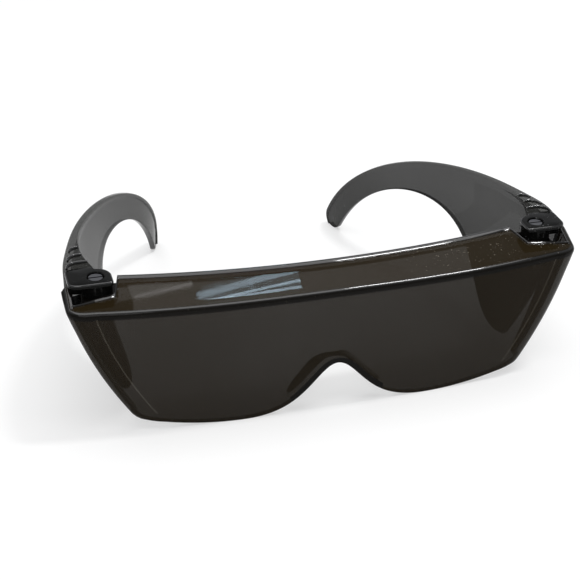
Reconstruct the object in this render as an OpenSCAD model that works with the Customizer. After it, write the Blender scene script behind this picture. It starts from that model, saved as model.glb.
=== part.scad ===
// Wraparound sunglasses of the kind worn over spectacles: one tinted moulded shield with
// a brow shelf and a nose bridge, and two wide temples that fold on hinge screws.
// X runs to the right of the face, Y runs back along the temples and Z is up. The glasses
// stand open on a flat surface at Z = 0, on the lower edge of the lens and the temple tips.

/* [Overall] */
// Width across the brow corners
front_w = 160; // [148:1:170]
// Height of the brow edge above the surface, at the middle
brow_h = 41.5; // [38:0.5:46]
// Length from the middle of the brow to the ends of the temple tips
overall_len = 121; // [114:1:130]
// Thickness of the moulded walls
wall = 2; // [1.7:0.1:2.3]

/* [Front shield] */
// Width across the lower corners of the lens
bottom_w = 119; // [112:1:126]
// Sweep of the front curve from the middle to the sides
front_sweep = 5.5; // [3:0.5:8]
// How late the front curve bends: 2 is an even curve
front_bend = 2.8; // [2:0.1:3.4]
// Width of the wrapped corners, from the crease where each begins
corner_w = 7.5; // [6:0.5:9]
// Depth of the wrapped corners at the brow
corner_top_d = 4.2; // [3:0.1:5]
// Depth of the wrapped corners at the lower edge
corner_low_d = 2.6; // [2.5:0.1:4]
// Outward bow of the slanted side edges
side_bow = 2.6; // [0:0.2:4]
// Distance of the side wraps' rear edge behind the brow edge, at the top
wrap_end_y = 15.7; // [14.5:0.1:15.8]
// How much further forward that rear edge is at the lower edge
wrap_fall = 10.6; // [10:0.2:11]
// Depth of the brow shelf at the middle
brow_depth = 16; // [13:0.5:18]
// Rise of the brow shelf towards the face, in degrees
brow_tilt = 6; // [4:0.5:7]
// Radius of the rounded brow edge
brow_edge_r = 1.4; // [0.6:0.1:1.8]
// Radius of the rear edge of the brow shelf, seen from above
brow_rear_r = 380; // [300:10:600]

/* [Lens edge and nose bridge] */
// Distance of the lowest point of each lobe from the middle
lobe_x = 30; // [27:1:34]
// Radius of the gently curved lower edge of each lobe
lobe_r = 115; // [90:5:160]
// Radius of the lower corners of the lens
lobe_corner_r = 6.5; // [4:0.5:9]
// Height of the nose notch
bridge_h = 16; // [13:0.5:18]
// Half width of the nose notch, half way up
bridge_half_w = 12.2; // [10:0.2:14]
// Depth of the nose bridge flange behind the lens, on its flanks
bridge_depth = 5.5; // [3:0.5:7]
// Share of that depth over the ridge of the nose
bridge_ridge = 0.35; // [0.2:0.05:0.6]
// Half width over which the nose bridge flange runs along the lens
bridge_reach = 15.7; // [13:0.1:18]

/* [Hinges] */
// Distance of the hinge screws inside the brow corners
hinge_in = 10; // [9.5:0.5:12]
// Distance of the hinge screws behind the brow edge
hinge_y = 16.5; // [16:0.1:17]
// Radius of the hinge knuckles
knuckle_r = 4.8; // [4.6:0.1:5.2]
// Thickness of the lug on the shield
lug_t = 3.2; // [2.6:0.1:3.6]
// Drop of the lug below the brow shelf at the screw
lug_drop = 1.25; // [1:0.05:1.6]
// Thickness of the lower leaf of each temple hinge
lower_leaf_t = 3; // [2.6:0.1:3.6]
// Height of the hinge block above the brow shelf at the screw
block_rise = 4.2; // [3.8:0.1:4.6]
// Length of the hinge block behind the screw
block_run = 6; // [5:0.5:7.5]
// Gap between the block and the raised corner of the side wrap under it
cheek_gap = 0.6; // [0.4:0.1:1]
// Gap between faces that slide past each other
slide_gap = 0.15; // [0.1:0.05:0.25]
// Gap between the open temple and the side wrap
butt_gap = 0.3; // [0.2:0.05:0.5]
// Gap between the hinge block and the pocket in the brow shelf
pocket_gap = 0.25; // [0.2:0.05:0.5]
// Slant of the pocket's front edge, in degrees
pocket_turn = 17; // [12:1:20]

/* [Fasteners] */
// Diameter of the screw shank
screw_d = 2; // [1.6:0.1:2.4]
// Diameter of the screw head
screw_head_d = 4.2; // [3.6:0.1:4.4]
// Height of the screw head
screw_head_h = 1.2; // [0.8:0.1:1.3]
// Depth of the round well that takes the screw head
well_depth = 1.6; // [1.4:0.1:1.8]
// Width of the nut across its flats
nut_af = 4; // [3.6:0.1:4.4]
// Thickness of the nut
nut_t = 1.6; // [1.2:0.1:1.8]
// Radial clearance of the screw in the lug
run_clear = 0.05; // [0.02:0.01:0.08]
// Radial clearance round parts that don't turn
seat_clear = 0.03; // [0.02:0.01:0.06]

/* [Temples] */
// Thickness of the temples
temple_t = 1.9; // [1.6:0.1:2.3]
// Height of the lower front corner of each temple above the surface
panel_low = 7; // [5:0.5:10]
// Distance of each temple tip from the middle
tip_x = 37; // [34:0.5:42]
// Half width of the arm at its tip
tip_half_w = 4.4; // [3.6:0.1:5]
// Height of the bend over the ear, as the pull on the arm's centre line
ear_pull_h = 50; // [47:0.5:54]
// Step of the temple inside the outer face of the side wrap
flush_step = 0.5; // [0.3:0.1:0.8]
// Width of the top shelf at the front of the temple
shelf_w = 10; // [8:0.5:11]
// Thickness of the top shelf
shelf_t = 1.4; // [1.2:0.1:1.5]
// Distance behind the brow edge where the top shelf ends
shelf_end_y = 54; // [48:1:60]
// Number of ribs across the top shelf
rib_count = 3; // [2:1:4]
// Distance between the ribs
rib_pitch = 5.8; // [4.6:0.1:6.4]
// Height of the ribs
rib_h = 0.7; // [0.4:0.1:1]
// Width of the ribs
rib_w = 1.1; // [0.8:0.1:1.6]

/* [Hidden] */

tint = [0.16, 0.14, 0.13, 0.8];
smoke = [0.33, 0.33, 0.33, 0.8];
steel = [0.72, 0.72, 0.74];

brow_slope = tan(brow_tilt);
half_w = front_w / 2;
half_bottom = bottom_w / 2;
hinge_x = half_w - hinge_in;
past = 1;                  // how far cutting shapes run past what they cut
arc_steps = 7;             // points along a wrapped corner
front_steps = 10;          // points along each half of the front curve
edge_steps = 4;            // rings round the brow edge
side_rings = 6;            // rings up the side of the shield
back_y = 34;               // where the uncut shield ends

// Heights in the hinge, from the top down
brow_at_hinge = brow_h + brow_slope * hinge_y;
block_top = brow_at_hinge + block_rise;
well_floor = block_top - well_depth;
lug_top = brow_at_hinge - lug_drop;
lug_bottom = lug_top - lug_t;
upper_leaf_bottom = lug_top + slide_gap;
lower_leaf_top = lug_bottom - slide_gap;
lower_leaf_bottom = lower_leaf_top - lower_leaf_t;
nut_recess = 0.15;
nut_bottom = lower_leaf_bottom + nut_recess;
nut_top = nut_bottom + nut_t;
screw_end_gap = 0.1;
screw_bottom = nut_bottom + screw_end_gap;

pocket_room = 2.2;
pocket_x = hinge_x - knuckle_r - pocket_room;   // inner side of the pocket in the brow shelf
screw_r = screw_d / 2;
well_gap = 0.4;
well_r = screw_head_d / 2 + well_gap;
cap_z = block_top - shelf_t;       // underside of the block where it stands over the shelf
block_back = hinge_y + block_run;
panel_y = wrap_end_y + butt_gap;   // front edge of the temple's side panel
temple_steps = 30;
tip_steps = 8;

// Half width of the shield at a share t of its height
function side_x(t) = half_bottom + (half_w - half_bottom) * t + side_bow * 4 * t * (1 - t);

// Height of the brow shelf's top face at a distance y behind the brow edge
function brow_z(y) = brow_h + brow_slope * y;

// Front curve seen from above, and where the wrapped corner of a level begins and ends
function front_y(x) = front_sweep * pow(abs(x) / half_w, front_bend);
function corner_d(t) = corner_low_d + (corner_top_d - corner_low_d) * t;
function corner_y(w, t) = front_y(w - corner_w) + corner_d(t);

// One level of the shield at a share t of its height: half width w, drawn in by d, open to y_end
function half_level(w, t, d, y_end) = concat(
    [for (i = [0 : front_steps]) let (x = (w - corner_w) * i / front_steps) [x, front_y(x) + d]],
    [for (i = [1 : arc_steps]) let (a = 90 * i / arc_steps)
        [w - corner_w + (corner_w - d) * sin(a), corner_y(w, t) - (corner_d(t) - d) * cos(a)]],
    [[w - d, y_end]]);
function level(w, t, d, y_end) = let (half = half_level(w, t, d, y_end), n = len(half))
    concat([for (i = [n - 1 : -1 : 1]) [-half[i].x, half[i].y]], half);

// Rear end of the side wraps at a height z
function wrap_y(z) = wrap_end_y - wrap_fall * pow(max(0, 1 - z / brow_h), 2);

// A level lifted to a share t of the shield's height, with drop below that surface
function lifted(outline, t, drop) = [for (p = outline) [p.x, p.y, t * brow_z(p.y) - drop]];

// A closed skin over a stack of rings that all have the same number of points. Each end is
// closed by the faces in cap, given as places in a ring, or by one face where there are none.
module skin(rings, cap = []) {
    n = len(rings[0]);
    m = len(rings);
    sides = [for (j = [0 : m - 2], i = [0 : n - 1])
        let (a = j * n + i, b = j * n + (i + 1) % n) each [[a, a + n, b], [b, a + n, b + n]]];
    first = len(cap) > 0 ? cap : [[for (i = [0 : n - 1]) i]];
    last = [for (face = first) [for (i = [len(face) - 1 : -1 : 0]) (m - 1) * n + face[i]]];
    polyhedron([for (r = rings) each r], concat(sides, first, last));
}

// Smooth curve through a list of pulls, the first and last of which it reaches
function curve(pulls, t) = len(pulls) == 1 ? pulls[0]
    : curve([for (i = [0 : len(pulls) - 2]) pulls[i] * (1 - t) + pulls[i + 1] * t], t);
function ease(t) = let (s = min(max(t, 0), 1)) s * s * (3 - 2 * s);

// Lower edge of the lens seen from the front
function lobe_edge(x) = pow(x - lobe_x, 2) / (2 * lobe_r);
function notch_edge(x) = bridge_h * pow(1 - pow(x / lobe_x, 2), 2) / (1 + pow(x / bridge_half_w, 2));
function lower_edge(x) = abs(x) < lobe_x ? notch_edge(x) : lobe_edge(abs(x));

// Centre of the lower corner's radius, drawn in from the slanted side
side_lean = atan((half_w - half_bottom + 2 * side_bow) / brow_h);
lobe_corner_z = lobe_edge(half_bottom) + lobe_corner_r;
lobe_corner_x = side_x(lobe_corner_z / brow_h) - lobe_corner_r / cos(side_lean);
function lobe_corner(a) = [lobe_corner_x, lobe_corner_z] + lobe_corner_r * [cos(a), sin(a)];

module lens_outline() {
    step = 2;
    half = concat(
        [for (x = [0 : step : lobe_corner_x]) [x, lower_edge(x)]],
        [for (a = [-78 : 10 : -side_lean]) lobe_corner(a)],
        [[lobe_corner(-side_lean).x + past, lobe_corner(-side_lean).y],
         [half_w + 2 * past, brow_h / 2],
         [half_w + 2 * past, brow_h * 2]]);
    n = len(half);
    polygon(concat([for (i = [n - 1 : -1 : 1]) [-half[i].x, half[i].y]], half));
}

// The shield before its edges are cut: a skin with a rounded brow edge, hollow behind
module shield_blank() {
    difference() {
        skin(concat(
            [for (i = [0 : side_rings - 1]) let (t = i / side_rings)
                lifted(level(side_x(t), t, 0, back_y), t, 0)],
            [for (k = [0 : edge_steps]) let (a = 90 * k / edge_steps)
                lifted(level(half_w, 1, brow_edge_r * (1 - cos(a)), back_y), 1,
                       brow_edge_r * (1 - sin(a)))]));
        skin([for (i = [0 : side_rings]) let (t = i / side_rings)
            lifted(level(side_x(t), t, wall, back_y + past), t,
                   i == side_rings ? wall : i == 0 ? past : 0)]);
    }
}

// What lies behind the shelf's curved rear edge
module shelf_rear_cut() {
    translate([0, brow_depth + brow_rear_r, brow_h / 2])
        intersection() {
            cylinder(r = brow_rear_r, h = brow_h, $fn = 360);
            translate([-pocket_x - past, -brow_rear_r - past, 0])
                cube([2 * (pocket_x + past), back_y + 2 * past, brow_h]);
        }
}

// What lies behind one side wrap, whose end runs further forward lower down
module wrap_cut() {
    end_y = back_y + 2 * past;
    low_z = brow_h / 2;
    wrap_steps = 8;
    function wrap_line(from_z, to_z) = concat(
        [for (i = [0 : wrap_steps]) let (z = from_z + (to_z - from_z) * i / wrap_steps) [wrap_y(z), z]],
        [[end_y, to_z], [end_y, from_z]]);
    rotate([90, 0, 90]) translate([0, 0, half_bottom / 2]) linear_extrude(half_w)
        polygon(wrap_line(-past, low_z));
    rotate([90, 0, 90]) translate([0, 0, pocket_x]) linear_extrude(half_w)
        polygon(wrap_line(low_z - past / 10, 2 * brow_h));
}

// Pocket in the brow shelf where the hinge block stands, with its slanted front edge
function pocket_front(x) = hinge_y - (knuckle_r + pocket_gap) / cos(pocket_turn)
    - (x - hinge_x) * tan(pocket_turn);
cheek_x = half_w - wall - 0.1;
module hinge_pocket() {
    translate([0, 0, lug_top])
        linear_extrude(brow_h)
            polygon([[cheek_x, pocket_front(cheek_x)],
                     [hinge_x - knuckle_r, pocket_front(hinge_x - knuckle_r)],
                     [pocket_x, hinge_y + knuckle_r - past],
                     [pocket_x, back_y + past],
                     [cheek_x, back_y + past]]);
}

// Raised rear corner of one side wrap, which closes the hinge's outer side
module side_cheek() {
    from_y = pocket_front(cheek_x);
    steps = 4;
    corner_rings = 3;
    low = 0.02;            // of its outer face inside the shield's own
    corner_at = corner_y(half_w, 1);
    function outer_x(y) = half_w - low - corner_w
        + corner_w * sqrt(1 - pow(max(0, corner_at - y) / corner_d(1), 2));
    function top_z(y) = brow_z(from_y)
        + (cap_z - cheek_gap - brow_z(from_y)) * (y - from_y) / (wrap_end_y - from_y);
    skin([for (i = [0 : steps])
        let (y = from_y + (wrap_end_y - from_y) * i / steps, x = outer_x(y) - brow_edge_r,
             z = top_z(y) - brow_edge_r, foot_z = brow_z(y) - wall)
        concat([[x + brow_edge_r, y, foot_z], [half_w - wall, y, foot_z], [half_w - wall, y, top_z(y)]],
               [for (k = [corner_rings : -1 : 0]) let (a = 90 * k / corner_rings)
                   [x + brow_edge_r * cos(a), y, z + brow_edge_r * sin(a)]])]);
}

// Lug that carries the hinge screw, moulded under the corner of the shelf, and its bore
module hinge_lug() {
    root_x = hinge_x - 2 * knuckle_r;
    root_y = front_y(hinge_x) + wall / 2;
    rear_y = hinge_y + knuckle_r - 0.5;
    translate([0, 0, lug_bottom])
        linear_extrude(lug_t) {
            translate([hinge_x, hinge_y]) circle(r = knuckle_r, $fn = 64);
            translate([root_x, root_y]) square([hinge_x - root_x, hinge_y - root_y]);
            translate([hinge_x - 2 * past, root_y])
                square([knuckle_r, hinge_y - root_y - knuckle_r / 2]);
            translate([root_x, hinge_y - past]) square([hinge_x - root_x, rear_y - hinge_y + past]);
        }
}
module lug_bore() {
    translate([hinge_x, hinge_y, lug_bottom - past])
        cylinder(r = screw_r + run_clear, h = lug_t + 2 * past, $fn = 48);
}

// Flange that stands back from the nose notch, deepest on its flanks and run out at its ends
module nose_bridge() {
    flange_t = 1.8;
    rise_in = 0.15;        // of the flange inside the edge of the lens
    count = 24;
    function flank(q) = bridge_ridge + (1 - bridge_ridge) * ease(2 * q);
    function rear_y(q) = wall + bridge_depth * flank(q) * sqrt(1 - pow(q, 4));
    skin([for (i = [0 : count])
        let (x = bridge_reach * (1 - 2 * i / count),
             y = rear_y(abs(x) / bridge_reach),
             rise = (lower_edge(x + 0.1) - lower_edge(x - 0.1)) / 0.2,
             run = sqrt(1 + rise * rise),
             nx = -rise / run * flange_t,
             nz = flange_t / run,
             z = lower_edge(x) + rise_in)
        [[x, wall / 2, z], [x + nx, wall / 2, z + nz], [x + nx, y, z + nz], [x, y, z]]]);
}

module front_shield() {
    color(tint) {
        difference() {
            union() {
                difference() {
                    intersection() {
                        shield_blank();
                        translate([0, back_y + 2 * past, 0]) rotate([90, 0, 0])
                            linear_extrude(back_y + 4 * past) lens_outline();
                    }
                    shelf_rear_cut();
                    for (side = [0, 1]) mirror([side, 0, 0]) {
                        wrap_cut();
                        hinge_pocket();
                    }
                }
                for (side = [0, 1]) mirror([side, 0, 0]) {
                    hinge_lug();
                    side_cheek();
                }
            }
            for (side = [0, 1]) mirror([side, 0, 0]) lug_bore();
        }
        nose_bridge();
    }
}

// Centre line of a temple, seen from above and from the side
function panel_x(z) = side_x(min(1, z / brow_h)) - flush_step;
shelf_drop = 2.2;          // of the top shelf below the hinge block
front_half_h = (block_top - shelf_drop - panel_low) / 2;
front_lean = (panel_x(brow_h) - panel_x(panel_low)) / (2 * front_half_h);
centre_x0 = (panel_x(brow_h) + panel_x(panel_low)) / 2;
waist_x = hinge_x - 4.5;   // pulls on the centre line, seen from above
bulge_x = hinge_x + 13.5;
ear_x = tip_x + 6.6;
waist_share = 0.23;        // how far back these pulls lie
ear_share = 0.72;
waist_up = 2.7;            // how far these pulls lie above the middle of the panel
bulge_up = 11.8;
waist_half_h = front_half_h + 5.4;
bulge_half_h = 2;
top_edge = 0.8;            // radius along the top of the outer face
ear_y = panel_y + ear_share * (overall_len - 2 * tip_half_w - panel_y);
tip_run = [4 * (tip_x - ear_x), 3 * (overall_len - tip_half_w - ear_y)];
tip_y = overall_len - (tip_half_w * tip_run.y + top_edge * tip_run.x) / norm(tip_run);
waist_y = panel_y + waist_share * (tip_y - panel_y);
mid_z = panel_low + front_half_h;
lean_more = 0.08;          // extra lean of the arm's middle
function temple_x(t) = curve([centre_x0, waist_x, bulge_x, ear_x, tip_x], t);
function temple_y(t) = curve([panel_y, waist_y, ear_y, tip_y], t);
function temple_z(t) = curve([mid_z, mid_z + waist_up, mid_z + bulge_up, ear_pull_h, tip_half_w], t);
function half_height(t) = curve([front_half_h, waist_half_h, bulge_half_h, tip_half_w, tip_half_w], t);
function lean(t) = (front_lean + lean_more * sin(180 * min(1, t / 0.6))) * (1 - ease(t / 0.86));

// Slope of the centre line, and its direction seen from above, which starts straight back
function ahead(t) = [temple_x(t + 0.01) - temple_x(t - 0.01), temple_y(t + 0.01) - temple_y(t - 0.01)];
function slope(t) = atan((temple_z(t + 0.01) - temple_z(t - 0.01)) / norm(ahead(t)));
function heading(t) = let (a = ahead(t) / norm(ahead(t)), b = [a.x * ease(t / 0.3), a.y]) b / norm(b);

// Share of the centre line at which it is y behind the brow edge
function share_at(y, low = 0, high = 1, tries = 14) =
    let (mid = (low + high) / 2)
    tries == 0 ? mid
    : temple_y(mid) < y ? share_at(y, mid, high, tries - 1) : share_at(y, low, mid, tries - 1);

// Width of the top shelf, which narrows to a bead along the arm
bead = 0.5;
shelf_fall = 1.9;
shelf_start = hinge_y + knuckle_r;
function shelf_width(y) =
    let (left = min(1, max(0, (shelf_end_y - y) / (shelf_end_y - shelf_start))))
    temple_t + bead + (shelf_w - temple_t - bead) * pow(left, shelf_fall);

// Point of the temple at a share q of its height, moved in by d and on by along
function temple_point(t, q, d, along, h) =
    let (way = heading(t),
         out_dir = [way.y, -way.x],
         tilt = slope(t) * ease(t / 0.35),
         up = h * (2 * q - 1),
         out = up * lean(t) + side_bow * 4 * q * (1 - q) * (1 - ease(t / 0.5)) - d,
         place = out_dir * out + way * (along * cos(slope(t)) - up * sin(tilt)))
    [temple_x(t) + place.x, temple_y(t) + place.y,
     temple_z(t) + up * cos(tilt) + along * sin(slope(t))];

// One section of the temple: the side wall, its rounded top edge and the top shelf
wall_shares = [0, 0.3, 0.6, 0.85];
function temple_ring(t, along, h) =
    let (shelf = shelf_width(temple_y(t)),
         edge = min(top_edge, h / 2),
         edge_q = 1 - edge / h / 2,
         under_q = 1 - min(shelf_t, 0.6 * h) / h / 2)
    concat([for (i = [0 : 3]) temple_point(t, wall_shares[i] * under_q, temple_t, along, h)],
           [temple_point(t, under_q, temple_t, along, h)],
           [temple_point(t, under_q, shelf, along, h)],
           [temple_point(t, 1, shelf, along, h)],
           [temple_point(t, 1, edge, along, h)],
           [temple_point(t, edge_q, 0, along, h)],
           [for (i = [3 : -1 : 0]) temple_point(t, wall_shares[i] * edge_q, 0, along, h)]);

module temple_shell() {
    wall_faces = [for (i = [0 : 3]) [i, i + 1, 11 - i, 12 - i]];
    skin(concat(
        [for (i = [0 : temple_steps]) let (t = i / temple_steps) temple_ring(t, 0, half_height(t))],
        [for (k = [1 : tip_steps]) let (a = 85 * k / tip_steps)
            temple_ring(1, tip_half_w * sin(a), tip_half_w * cos(a))]),
        concat(wall_faces, [[4, 5, 6, 7], [4, 7, 8]]));
}

// Hinge block: two leaves round the lug, joined by a wall on the outer side
module hinge_block() {
    web_gap = 0.4;
    web_x = hinge_x + knuckle_r + web_gap;
    mid_z = (lower_leaf_bottom + brow_h) / 2;
    corner_r = 3;
    function core_x(z) = panel_x(z) - temple_t / 2;
    translate([hinge_x, hinge_y, upper_leaf_bottom])
        cylinder(r = knuckle_r, h = block_top - upper_leaf_bottom, $fn = 64);
    translate([hinge_x, hinge_y, lower_leaf_bottom])
        cylinder(r = knuckle_r, h = lower_leaf_t, $fn = 64);
    translate([0, block_back, 0]) rotate([90, 0, 0]) linear_extrude(block_run)
        polygon([[hinge_x, lower_leaf_bottom], [core_x(lower_leaf_bottom), lower_leaf_bottom],
                 [core_x(mid_z), mid_z], [core_x(brow_h), brow_h], [core_x(brow_h), block_top],
                 [hinge_x, block_top], [hinge_x, upper_leaf_bottom], [web_x, upper_leaf_bottom],
                 [web_x, lower_leaf_top], [hinge_x, lower_leaf_top]]);
    translate([0, 0, cap_z]) linear_extrude(shelf_t) hull() {
        translate([hinge_x - knuckle_r, hinge_y - knuckle_r]) square([knuckle_r, knuckle_r + past]);
        translate([hinge_x, hinge_y]) square([core_x(brow_h) - hinge_x, past]);
        translate([core_x(brow_h) - corner_r, hinge_y - knuckle_r + corner_r])
            circle(r = corner_r, $fn = 48);
    }
}

// Round well for the screw head, the screw's hole and the hexagonal seat of the nut
module hinge_holes() {
    translate([hinge_x, hinge_y, 0]) {
        translate([0, 0, lower_leaf_bottom - past])
            cylinder(r = screw_r + seat_clear, h = block_top - lower_leaf_bottom + 2 * past, $fn = 48);
        translate([0, 0, well_floor]) cylinder(r = well_r, h = well_depth + past, $fn = 64);
        translate([0, 0, lower_leaf_bottom - past])
            cylinder(r = (nut_af / 2 + seat_clear) / cos(30), h = past + nut_recess + nut_t, $fn = 6);
    }
}

// Ribs across the top shelf, each turned forward at its outer end
module shelf_ribs() {
    rib_root = 0.6;
    first_rib = 4.4;       // distance of the first rib behind the hinge block
    rib_turn = 3.2;
    for (i = [0 : rib_count - 1]) {
        y = block_back + first_rib + rib_pitch * i;
        t = share_at(y);
        outer = temple_point(t, 1, top_edge, 0, half_height(t));
        width = shelf_width(y) - top_edge;
        turn = min(rib_turn, width - rib_w / 2);
        translate([outer.x, y, outer.z - rib_root]) linear_extrude(rib_root + rib_h) {
            translate([-width, -rib_w]) square([width - turn, rib_w]);
            translate([-turn, -turn]) intersection() {
                difference() {
                    circle(r = turn, $fn = 48);
                    circle(r = turn - rib_w, $fn = 48);
                }
                square(turn + past);
            }
        }
    }
}

module temple() {
    difference() {
        union() {
            temple_shell();
            hinge_block();
            shelf_ribs();
        }
        hinge_holes();
    }
}

module hinge_screw() {
    slot_w = 0.6;
    translate([hinge_x, hinge_y, 0]) {
        translate([0, 0, screw_bottom])
            cylinder(r = screw_r, h = well_floor - screw_bottom, $fn = 48);
        difference() {
            translate([0, 0, well_floor]) cylinder(d = screw_head_d, h = screw_head_h, $fn = 48);
            translate([-screw_head_d, -slot_w / 2, well_floor + screw_head_h / 2])
                cube([2 * screw_head_d, slot_w, screw_head_h]);
        }
    }
}

module hinge_nut() {
    translate([hinge_x, hinge_y, nut_bottom])
        difference() {
            cylinder(d = nut_af / cos(30), h = nut_t, $fn = 6);
            translate([0, 0, -past]) cylinder(r = screw_r + seat_clear, h = nut_t + 2 * past, $fn = 48);
        }
}

// Places the glasses with the middle of their length at Y = 0
module placed() {
    translate([0, -overall_len / 2, 0]) children();
}

placed() front_shield();
placed() mirror([1, 0, 0]) color(smoke) temple();  // left_temple
placed() color(smoke) temple();  // right_temple
placed() mirror([1, 0, 0]) color(steel) hinge_screw();  // left_hinge_screw
placed() color(steel) hinge_screw();  // right_hinge_screw
placed() mirror([1, 0, 0]) color(steel) hinge_nut();  // left_hinge_nut
placed() color(steel) hinge_nut();  // right_hinge_nut
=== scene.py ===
"""Wraparound sunglasses: the looks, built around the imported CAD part.

Inside the classes sizes are in millimetres, in the maker's frame: X runs to the right, Y runs
back from the front of the brow along the temples, and Z is up from the surface the open
glasses stand on. A finished mesh is moved to the row's frame and turned to metres.
"""

import logging
import math
from dataclasses import dataclass, field
from enum import Enum
from typing import Callable, Iterable

import bmesh
import bpy
from mathutils import Matrix, Vector

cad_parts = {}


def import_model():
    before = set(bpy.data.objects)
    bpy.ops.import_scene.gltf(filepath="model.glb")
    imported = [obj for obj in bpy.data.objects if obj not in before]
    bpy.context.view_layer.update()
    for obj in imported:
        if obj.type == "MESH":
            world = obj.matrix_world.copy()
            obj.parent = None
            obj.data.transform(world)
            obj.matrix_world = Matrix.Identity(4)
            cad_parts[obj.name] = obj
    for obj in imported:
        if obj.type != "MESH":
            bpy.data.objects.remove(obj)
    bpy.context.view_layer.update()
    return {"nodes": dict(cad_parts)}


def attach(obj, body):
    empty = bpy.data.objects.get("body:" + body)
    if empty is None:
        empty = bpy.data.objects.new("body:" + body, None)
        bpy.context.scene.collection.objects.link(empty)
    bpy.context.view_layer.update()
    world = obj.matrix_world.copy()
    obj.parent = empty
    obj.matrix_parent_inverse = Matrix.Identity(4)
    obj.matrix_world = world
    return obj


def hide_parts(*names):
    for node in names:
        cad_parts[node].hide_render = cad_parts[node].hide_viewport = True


log = logging.getLogger("sunglasses")

# A ring gives the point for an angle in radians, a spot is two places, a colour ends with its alpha
Ring = Callable[[float], Vector]
Spot = tuple[float, float]
Triple = tuple[float, float, float]
Colour = tuple[float, float, float, float]

MM = 0.001
OVERALL_LEN = 121.0
SMOOTH_LIMIT = math.radians(32)
SHARP_RIM = math.radians(50)
RIM_ROOM = 0.5
CHAMFER = 0.25
HAIR = 0.01
WELD = 0.001
FINE_WELD = 0.0005
SOLVER_STEPS = 40


class Side(Enum):
    """Which side of the wearer's face a piece is on, as the sign of its X."""

    LEFT = -1
    RIGHT = 1

    @property
    def word(self) -> str:
        """The side as it stands in the names of pieces."""
        return self.name.lower()


class Place(Enum):
    """Parts of a mesh, as the depth of plastic that light crosses there; a plain plate has none. SHADE
    also stands for painted shade, a dark band, and the crease's negative depth for a painted highlight,
    a lighter line.
    """

    # Painted highlight: the rounded crease is made lighter and clearer than the plate
    CREASE = -0.25
    SHADE = 0.9
    BLOCK = 0.901
    EDGE = 1.0


# Small sums that the shapes share


def ease(t: float) -> float:
    """Smooth step from 0 to 1 as t goes from 0 to 1."""
    s = min(max(t, 0.0), 1.0)
    return s * s * (3 - 2 * s)


def mix(a: float, b: float, share: float) -> float:
    """Value that lies a share of the way from a to b."""
    return a + (b - a) * share


def curve(pulls: list[float], t: float) -> float:
    """Smooth curve drawn by a list of pulls.

    Args:
        pulls: The pulls, the first and last of which the curve reaches.
        t: Share of the curve.

    Returns:
        The value there.
    """
    while len(pulls) > 1:
        pulls = [mix(a, b, t) for a, b in zip(pulls, pulls[1:])]
    return pulls[0]


def solve(test: Callable[[float], bool], low: float, high: float) -> float:
    """Finds where a test turns true.

    Args:
        test: False below the wanted value and true above it.
        low: A value at which the test is false.
        high: A value at which the test is true.

    Returns:
        The lowest value at which the test is true.
    """
    for _ in range(SOLVER_STEPS):
        middle = (low + high) / 2
        if test(middle):
            high = middle
        else:
            low = middle
    return high


# Mesh making


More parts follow.
